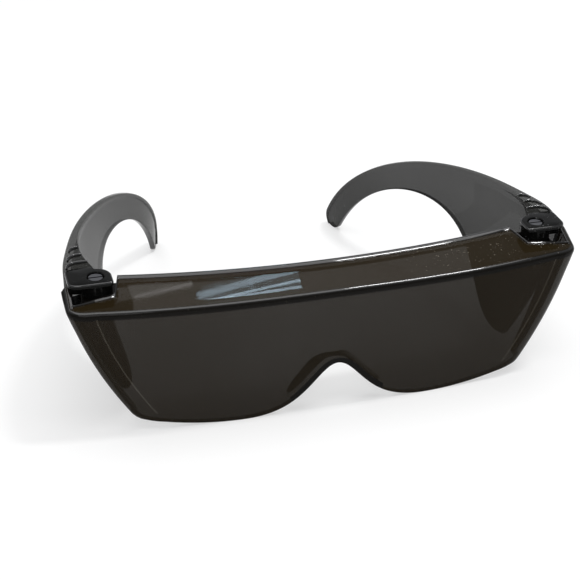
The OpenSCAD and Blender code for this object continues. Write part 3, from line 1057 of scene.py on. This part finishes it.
        verts = maker.grid(count, len(rows) - 1, place)
        maker.weld(verts, FINE_WELD)
        rim = [e for e in maker.bm.edges if e.is_boundary]
        ends = bmesh.ops.holes_fill(maker.bm, edges=rim, sides=0)["faces"]
        maker.mark(ends, Place.EDGE)
        soles = range(count - self.sole_points, count)
        foot = [f for f in maker.bm.faces if all(v[maker.column] in soles for v in f.verts)]
        maker.mark(foot, Place.EDGE)

    def _block(self, maker: Maker) -> None:
        """Adds the hinge block: the upper leaf with its well, and the lower leaf.

        Args:
            maker: The mesh in the making.
        """
        hinge = self.hinge
        outer_x = self.panel_x(self.form.brow_h) - self.wall / 2 - hinge.x

        def outline(z: float, grow: float, reach_out: float, over: bool = False) -> Ring:
            """Ring of a leaf's outline.

            Args:
                z: Height.
                grow: Width by which the outline grows.
                reach_out: Reach from the screw to the outer side.
                over: Whether the leaf stands over the brow shelf too.

            Returns:
                The ring.
            """
            def point(a: float) -> Vector:
                """Point of the outline at an angle.

                Args:
                    a: The angle.

                Returns:
                    The point.
                """
                c, s = math.cos(a), math.sin(a)
                ahead = s < -HAIR
                across = reach_out if c > 0 and (over or not ahead) else hinge.knuckle_r
                along = hinge.knuckle_r if ahead or c < 0 else hinge.block_run
                power = self.square_power
                if (c <= 0 and s > 0) or (ahead and not over):
                    power = self.round_power
                elif ahead and c > 0:
                    power = self.corner_power
                return polar(hinge.centre, a, squarish(a, across, along, power) + grow, z)
            return point

        round_r = self.block_round
        well_r = hinge.screw_head_r + hinge.well_gap
        hole_r = hinge.screw_r + hinge.seat_clear
        top, bottom = hinge.block_top, hinge.lug_top + hinge.slide_gap
        small = self.small_edge
        rings = [outline(hinge.cap_z + small, 0, outer_x, True)]
        for a in map(math.radians, self.block_turns):
            z, grow = top - round_r * (1 - math.sin(a)), -round_r * (1 - math.cos(a))
            rings.append(outline(z, grow, outer_x, True))
        rings += [circle(hinge.centre, well_r + CHAMFER, top),
                  circle(hinge.centre, well_r, top - CHAMFER),
                  circle(hinge.centre, well_r, hinge.well_floor + small),
                  circle(hinge.centre, well_r - small, hinge.well_floor),
                  circle(hinge.centre, hole_r, hinge.well_floor), circle(hinge.centre, hole_r, bottom),
                  outline(bottom, -small, outer_x), outline(bottom + small, 0, outer_x),
                  outline(hinge.cap_z - small, 0, outer_x), outline(hinge.cap_z, -small, outer_x, True)]
        shell = set(maker.bm.faces)
        maker.tube(self.block_points, rings, Place.BLOCK, closed=True)
        rim_z, rim_r = top - round_r - HAIR, hinge.knuckle_r - round_r - self.rim_room
        rim = [f for f in maker.bm.faces if f not in shell
               and all(v.co.z > rim_z and math.dist(v.co.xy, hinge.centre) > rim_r for v in f.verts)]
        maker.mark(rim, Place.EDGE)
        leaf_top, leaf_bottom = hinge.leaf_top, hinge.leaf_bottom
        seat = hinge.nut_af + 2 * hinge.seat_clear
        seat_top = leaf_bottom + hinge.nut_recess + hinge.nut_t
        leaf_out = self.panel_x(leaf_bottom) - self.wall / 2 - hinge.x
        rings = [outline(leaf_top - CHAMFER, 0, leaf_out), outline(leaf_top, -CHAMFER, leaf_out),
                 circle(hinge.centre, hole_r, leaf_top), circle(hinge.centre, hole_r, seat_top),
                 hexagon(hinge.centre, seat, seat_top), hexagon(hinge.centre, seat, leaf_bottom),
                 outline(leaf_bottom, -CHAMFER, leaf_out), outline(leaf_bottom + CHAMFER, 0, leaf_out)]
        maker.tube(self.block_points, rings, Place.BLOCK, closed=True)

    def _share_at(self, y: float) -> float:
        """Share of the centre line at a distance behind the brow edge."""
        return solve(lambda t: curve(self.ys, t) >= y, 0.0, 1.0)

    def _ribs(self, maker: Maker) -> None:
        """Adds the ribs across the top shelf, each turned forward at its outer end.

        Args:
            maker: The mesh in the making.
        """
        for number in range(self.rib_count):
            y = self.hinge.y + self.hinge.block_run + self.first_rib + self.rib_pitch * number
            t = self._share_at(y)
            corner = self.point(t, 1.0, self.top_edge + self.rib_inset)
            width = self.shelf_width(y) - self.top_edge - 2 * self.rib_inset
            turn = min(self.rib_turn, width - self.rib_straight)
            straight = [Vector((corner.x - mix(width, turn, i / self.rib_steps), corner.y))
                        for i in range(self.rib_steps + 1)]
            bent = [Vector((corner.x - turn * (1 - math.sin(a)), corner.y - turn * (1 - math.cos(a))))
                    for a in map(math.radians, self.rib_turns)]
            self._rib(maker, straight + bent, corner.z)

    def _rib(self, maker: Maker, path: list[Vector], z: float) -> None:
        """Adds a rounded rib along a level path.

        Args:
            maker: The mesh in the making.
            path: Points of the path, as X and Y.
            z: Height of the path.
        """
        last = len(path) - 1

        def ring(j: int) -> Ring:
            """Ring about a point of the path, thinner towards both ends.

            Args:
                j: The point of the path.

            Returns:
                The ring.
            """
            way = (path[min(j + 1, last)] - path[max(j - 1, 0)]).normalized()
            across = Vector((way.y, -way.x))
            thin = math.sin(math.pi * (self.rib_start + self.rib_run * j / last)) ** 0.5

            def point(a: float) -> Vector:
                """Point of the ring at an angle."""
                spot = path[j] + across * (self.rib_w / 2 * thin * math.cos(a))
                return Vector((spot.x, spot.y, z + self.rib_h * thin * math.sin(a)))
            return point

        maker.tube(self.rib_points, [ring(j) for j in range(last + 1)], Place.EDGE)

    def build(self) -> bpy.types.Object:
        """Makes the temple's mesh.

        Returns:
            The dressed temple's object.
        """
        maker = Maker()
        self._shell(maker)
        self._block(maker)
        self._ribs(maker)
        return maker.finish(f"{self.side.word}_side_arm", self.side)


# Finishes


@dataclass
class Signal:
    """A shader socket that takes part in Python sums."""

    shader: "Shader"
    socket: bpy.types.NodeSocket

    def _join(self, operation: str, first: "Signal | float", second: "Signal | float") -> "Signal":
        """Adds a Math node between two values."""
        return self.shader.add("ShaderNodeMath", {"operation": operation}, {0: first, 1: second})

    def __add__(self, other: "Signal | float") -> "Signal":
        """Sum."""
        return self._join("ADD", self, other)

    def __radd__(self, other: float) -> "Signal":
        """Sum with a number first."""
        return self._join("ADD", other, self)

    def __sub__(self, other: "Signal | float") -> "Signal":
        """Difference."""
        return self._join("SUBTRACT", self, other)

    def __rsub__(self, other: float) -> "Signal":
        """Difference from a number."""
        return self._join("SUBTRACT", other, self)

    def __mul__(self, other: "Signal | float") -> "Signal":
        """Product."""
        return self._join("MULTIPLY", self, other)

    def __rmul__(self, other: float) -> "Signal":
        """Product with a number first."""
        return self._join("MULTIPLY", other, self)


class Shader:
    """The nodes of a material or of the world."""

    def __init__(self, name: str, world: bpy.types.World | None = None) -> None:
        """Starts the nodes with the output.

        Args:
            name: Name of the material.
            world: The world, where the nodes are its own.
        """
        self.owner = world or bpy.data.materials.new(name)
        self.owner.use_nodes = True
        self.nodes = self.owner.node_tree.nodes
        self.nodes.clear()
        self.output = self.nodes.new("ShaderNodeOutputWorld" if world else "ShaderNodeOutputMaterial")

    def put(self, socket: bpy.types.NodeSocket, value: object) -> None:
        """Links a signal to a socket, or sets the socket's own value.

        Args:
            socket: The socket.
            value: The signal or the value.
        """
        if isinstance(value, Signal):
            self.owner.node_tree.links.new(value.socket, socket)
        else:
            socket.default_value = value

    def add(self, kind: str, settings: dict | None = None, inputs: dict | None = None,
            out: str | int = 0) -> Signal:
        """Adds a node.

        Args:
            kind: The node's type.
            settings: Its own settings; a ramp's stops are given as "stops".
            inputs: Values or signals for its sockets, by name or place.
            out: The output that is wanted.

        Returns:
            The output as a signal.
        """
        node = self.nodes.new(kind)
        for key, value in (settings or {}).items():
            if key == "stops":
                ramp = node.color_ramp
                while len(ramp.elements) < len(value):
                    ramp.elements.new(0.5)
                for element, (spot, level) in zip(ramp.elements, value):
                    element.position = spot
                    element.color = (level, level, level, 1)
            else:
                setattr(node, key, value)
        for key, value in (inputs or {}).items():
            self.put(node.inputs[key], value)
        return Signal(self, node.outputs[out])

    def noise(self, cells: float, detail: float = 3.0, stretch: Triple = (1, 1, 1)) -> Signal:
        """Noise over the object.

        Args:
            cells: Number of its cells in a metre.
            detail: How many times finer noise is added.
            stretch: How many times the cells are repeated along X, Y and Z.

        Returns:
            The noise, from 0 to 1.
        """
        spot = self.add("ShaderNodeTexCoord", out="Object")
        mapped = self.add("ShaderNodeMapping", {}, {"Vector": spot, "Scale": stretch})
        inputs = {"Vector": mapped, "Scale": cells, "Detail": detail}
        return self.add("ShaderNodeTexNoise", {}, inputs, out="Fac")

    def bump(self, height: Signal, strength: float, distance: float) -> Signal:
        """A normal that follows a height."""
        inputs = {"Height": height, "Strength": strength, "Distance": distance}
        return self.add("ShaderNodeBump", {}, inputs)

    def ramp(self, value: Signal, *stops: Spot) -> Signal:
        """Passes a signal through a ramp of grey levels."""
        return self.add("ShaderNodeValToRGB", {"stops": stops}, {"Fac": value})

    def blend(self, share: Signal | float, first: object, second: object) -> Signal:
        """Mixes two colours.

        Args:
            share: Share of the second colour.
            first: The first colour, or a signal that carries it.
            second: The second one.

        Returns:
            The mixed colour.
        """
        node = self.nodes.new("ShaderNodeMix")
        node.data_type = "RGBA"
        colours = [s for s in node.inputs if s.type == "RGBA"]
        self.put(node.inputs[0], share)
        self.put(colours[0], first)
        self.put(colours[1], second)
        return Signal(self, next(s for s in node.outputs if s.type == "RGBA"))

    def along(self, axis: str) -> Signal:
        """One of the object coordinates, in metres."""
        spot = self.add("ShaderNodeTexCoord", out="Object")
        return self.add("ShaderNodeSeparateXYZ", {}, {"Vector": spot}, out=axis)

    def attribute(self, name: str) -> Signal:
        """A value stored on the mesh."""
        return self.add("ShaderNodeAttribute", {"attribute_name": name}, out="Fac")

    def seen(self) -> Signal:
        """Tells where the camera sees a surface, straight or through gloss and glass.

        Returns:
            1 where it does and 0 elsewhere.
        """
        path = self.nodes.new("ShaderNodeLightPath")
        rays = [Signal(self, path.outputs[f"Is {kind} Ray"])
                for kind in ("Camera", "Glossy", "Transmission")]
        return rays[0] + rays[1] + rays[2]

    def close(self, kind: str, inputs: dict) -> bpy.types.ID:
        """Closes the nodes with a shader of some type, and gives what owns them."""
        self.put(self.output.inputs["Surface"], self.add(kind, {}, inputs))
        return self.owner

    def principled(self, inputs: dict) -> bpy.types.Material:
        """Closes the material with a Principled shader."""
        return self.close("ShaderNodeBsdfPrincipled", inputs)


@dataclass(frozen=True)
class TintedPlastic:
    """Clear plastic with a dye in it: plates let light through, edges and thick parts little; shaded
    bands are painted darker as shade, creases lighter as a highlight, and the lower part less clear as
    painted shade.
    """

    name: str
    colour: Colour
    # Colour of the dust specks, also used for the painted highlight along the creases
    dust: Colour
    alpha: float
    gloss: float
    dust_from_x: float
    dust_from_z: float
    deep_colour: Colour = (0.002, 0.002, 0.002, 1)
    edge_alpha: float = 0.985
    low_shade: float = 0.03
    roughness: float = 0.012
    cloud_cells: float = 28.0
    speck_cells: float = 1300.0
    scratch_cells: float = 240.0
    smear_cells: float = 60.0
    enlarge_x: float = 5.0
    enlarge_z: float = 20.0

    def build(self) -> bpy.types.Material:
        """Makes the material.

        Returns:
            The material, which reads the depth marked on the mesh.
        """
        shader = Shader(self.name)
        depth = shader.attribute("depth")
        coat = shader.ramp(depth, (0.9, 0.04), (1.0, 1.0))
        cloud = shader.noise(self.cloud_cells, 2.0)
        # A ramp reads values from 0 to 1, so X and Z are enlarged first
        across, up = shader.along("X") * self.enlarge_x + 0.5, shader.along("Z") * self.enlarge_z
        start_x, start_z = self.enlarge_x * self.dust_from_x, self.enlarge_z * self.dust_from_z
        dusty = shader.ramp(across, (0.5 + start_x, 0.0), (0.6 + start_x, 1.0))
        dusty = dusty * shader.ramp(up, (start_z, 0.0), (start_z + 0.02, 1.0))
        specks = shader.ramp(shader.noise(self.speck_cells, 1.0), (0.7, 0.0), (0.74, 1.0))
        specks = specks * (0.12 + dusty * 0.88)
        scratches = shader.noise(self.scratch_cells, 2.0, (0.25, 1.0, 6.0))
        scratches = shader.ramp(scratches, (0.58, 0.0), (0.64, 1.0))
        smears = shader.noise(self.smear_cells, 4.0, (1.0, 1.0, 0.5))
        smears = shader.ramp(smears, (0.45, 0.0), (0.75, 1.0))
        # Thick parts darken for their depth of plastic; the SHADE band darkens as painted shade
        colour = shader.blend(depth, self.colour, self.deep_colour)
        # Painted highlight: a negative depth, on the creases, blends in the dust colour for a lighter
        # line
        colour = shader.blend(shader.ramp(depth * -4.0, (0.0, 0.0), (1.0, 0.2)), colour, self.dust)
        colour = shader.blend(specks * 0.35 + cloud * 0.02, colour, self.dust)
        rough = self.roughness + smears * 0.02 + scratches * 0.02 + specks * 0.3
        alpha = self.alpha + depth * (self.edge_alpha - self.alpha) + (cloud - 0.5) * 0.05
        # Painted shade: the plastic is made less clear towards the bottom, for the shadow seen through
        # it
        alpha = alpha + shader.ramp(up, (0.1, 1.0), (0.75, 0.0)) * self.low_shade
        normal = shader.bump(cloud * 0.3 + scratches * 0.004 + specks * 0.1, 0.1, 0.0002)
        return shader.principled({"Base Color": colour, "Roughness": rough, "Alpha": alpha,
                                  "Normal": normal, "Specular IOR Level": self.gloss, "IOR": 1.58,
                                  "Coat Roughness": 0.03, "Coat Weight": coat})


@dataclass(frozen=True)
class TurnedSteel:
    """Steel with fine turning marks."""

    name: str
    colour: Colour
    stain_colour: Colour = (0.1, 0.1, 0.11, 1)
    mark_cells: float = 2600.0
    stain_cells: float = 400.0

    def build(self) -> bpy.types.Material:
        """Makes the material.

        Returns:
            The material, with its marks turned about Z.
        """
        shader = Shader(self.name)
        marks = shader.noise(self.mark_cells, 2.0, (1.0, 1.0, 0.05))
        stain = shader.noise(self.stain_cells)
        colour = shader.blend(stain * 0.5, self.colour, self.stain_colour)
        rough = 0.22 + marks * 0.16 + stain * 0.1
        return shader.principled({"Base Color": colour, "Metallic": 1.0, "Roughness": rough,
                                  "Normal": shader.bump(marks, 0.2, 0.00005)})


@dataclass(frozen=True)
class PaleTable:
    """The pale surface under the glasses, white to the camera, that keeps their shadow."""

    paint: Colour = (0.5, 0.5, 0.5, 1)
    grain_paint: Colour = (0.46, 0.46, 0.46, 1)
    grain_cells: float = 300.0
    fill: float = 0.5

    def build(self) -> bpy.types.Material:
        """Makes the material.

        Returns:
            The material.
        """
        shader = Shader("pale_table")
        colour = shader.blend(shader.noise(self.grain_cells) * 0.04, self.paint, self.grain_paint)
        return shader.principled({"Base Color": colour, "Roughness": 0.9, "Specular IOR Level": 0.0,
                                  "Emission Color": (1, 1, 1, 1),
                                  "Emission Strength": shader.seen() * self.fill})


# The stage


@dataclass(frozen=True)
class Viewpoint:
    """The camera at the photograph's viewing angle."""

    place: Triple = (-0.107491, -0.377307, 0.235024)
    yaw: float = math.radians(16.168)
    dip: float = math.radians(30.075)
    roll: float = math.radians(0.739)
    focal_px: float = 1303.7
    frame_px: float = 580.0
    sensor: float = 36.0
    clip: Spot = (0.01, 60.0)

    def build(self) -> None:
        """Adds the camera and makes it the scene's own."""
        level = math.cos(self.dip)
        ahead = Vector((math.sin(self.yaw) * level, math.cos(self.yaw) * level, -math.sin(self.dip)))
        right = ahead.cross(Vector((0, 0, 1))).normalized()
        up = right.cross(ahead)
        c, s = math.cos(self.roll), math.sin(self.roll)
        right, up = c * right + s * up, c * up - s * right
        data = bpy.data.cameras.new("viewpoint")
        data.sensor_width = self.sensor
        data.lens = self.focal_px / self.frame_px * self.sensor
        data.clip_start, data.clip_end = self.clip
        camera = show("viewpoint", data)
        turn = Matrix((right, up, -ahead)).transposed()
        camera.matrix_world = Matrix.Translation(self.place) @ turn.to_4x4()
        bpy.context.scene.camera = camera


@dataclass(frozen=True)
class SoftLamp:
    """A rectangular lamp turned to the glasses."""

    name: str
    place: Triple
    size: Spot
    power: float
    target: Triple = (0.0, 0.0, 0.02)
    tint: Triple = (1.0, 1.0, 1.0)
    tilt: float = 0.0

    def build(self) -> None:
        """Adds the lamp."""
        data = bpy.data.lights.new(self.name, "AREA")
        data.shape = "RECTANGLE"
        data.size, data.size_y = self.size
        data.energy = self.power
        data.color = self.tint
        lamp = show(self.name, data)
        lamp.location = self.place
        ahead = Vector(self.target) - Vector(self.place)
        roll = Matrix.Rotation(math.radians(self.tilt), 3, "Z")
        lamp.rotation_euler = (ahead.to_track_quat("-Z", "Y").to_matrix() @ roll).to_euler()


# Colour of the window's light, and the places that its panes are turned to
SKY = (0.62, 0.83, 1.0)
PANE_AIM = (0.228, 0.0, 0.05)
LEFT_AIM = (0.105, 0.0, 0.05)


@dataclass(frozen=True)
class Studio:
    """Table, world and lamps."""

    table_half: float = 20.0
    table_cells: int = 8
    air_colour: Colour = (0.95, 0.97, 1.0, 1)
    air_light: float = 0.16
    air_seen: float = 0.36
    lamps: tuple[SoftLamp, ...] = (
        SoftLamp("top_lamp", (0.0, 0.1, 1.4), (1.6, 1.6), 18.0),
        SoftLamp("front_lamp", (-0.5, -1.2, 0.9), (0.8, 0.8), 5.0),
        SoftLamp("low_blind", (0.23, 0.8, 0.8424), (0.123, 0.003), 0.028, PANE_AIM, SKY, 1.3),
        SoftLamp("mid_blind", (0.231, 0.8, 0.8365), (0.118, 0.003), 0.028, PANE_AIM, SKY, 5.2),
        SoftLamp("high_blind", (0.222, 0.8, 0.8217), (0.127, 0.008), 0.045, PANE_AIM, SKY, 7.4),
        SoftLamp("pane", (0.228, 0.8, 0.83), (0.12, 0.026), 0.02, PANE_AIM, SKY, 4.0),
        SoftLamp("left_glow", (0.108, 0.8, 0.8115), (0.092, 0.015), 0.0085, LEFT_AIM, tilt=4.0),
        SoftLamp("left_gleam", (0.12, 0.8, 0.817), (0.07, 0.004), 0.004, LEFT_AIM, tilt=7.0),
        SoftLamp("edge_window", (0.39, -0.05, 1.0), (0.08, 0.2), 3.0))

    def build(self) -> None:
        """Adds the stage."""
        maker = bmesh.new()
        bmesh.ops.create_grid(maker, x_segments=self.table_cells, y_segments=self.table_cells,
                              size=self.table_half)
        mesh = bpy.data.meshes.new("table")
        maker.to_mesh(mesh)
        maker.free()
        table = show("table", mesh)
        dress(table, PaleTable().build())
        world = bpy.data.worlds.new("studio_air")
        bpy.context.scene.world = world
        air = Shader("studio_air", world)
        strength = self.air_light + air.seen() * self.air_seen
        air.close("ShaderNodeBackground", {"Color": self.air_colour, "Strength": strength})
        for lamp in self.lamps:
            lamp.build()
        bpy.context.scene.view_settings.view_transform = "Standard"


TINT = TintedPlastic("smoke_tint", colour=(0.017, 0.0112, 0.004, 1), dust=(0.3, 0.27, 0.22, 1),
                     alpha=0.845, gloss=0.04, dust_from_x=0.01, dust_from_z=0.0412)
GREY = TintedPlastic("smoke_grey", colour=(0.014, 0.014, 0.012, 1), dust=(0.2, 0.2, 0.2, 1),
                     alpha=0.75, gloss=0.05, dust_from_x=0.0, dust_from_z=0.0, low_shade=0.06)
# The screw's steel is much darker than the nut's
SCREW_STEEL = TurnedSteel("screw_steel", (0.14, 0.14, 0.15, 1))
NUT_STEEL = TurnedSteel("nut_steel", (0.3, 0.3, 0.31, 1))


def dress(piece: bpy.types.Object, material: bpy.types.Material) -> None:
    """Gives a piece its only material."""
    piece.data.materials.clear()
    piece.data.materials.append(material)


def main() -> None:
    """Builds the scene."""
    logging.basicConfig(level=logging.INFO, format="%(message)s")
    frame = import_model()
    Viewpoint().build()
    Studio().build()

    tint, grey = TINT.build(), GREY.build()
    shield = FrontShield().build()
    dress(shield, tint)
    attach(shield, "shield")
    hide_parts("front_shield")
    for side in Side:
        arm = Temple(side).build()
        dress(arm, grey)
        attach(arm, f"{side.word}_arm")
        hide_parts(f"{side.word}_temple")
    screw_steel, nut_steel = SCREW_STEEL.build(), NUT_STEEL.build()
    for side in Side:
        dress(frame["nodes"][f"{side.word}_hinge_screw"], screw_steel)
        dress(frame["nodes"][f"{side.word}_hinge_nut"], nut_steel)


if __name__ == "__main__":
    main()
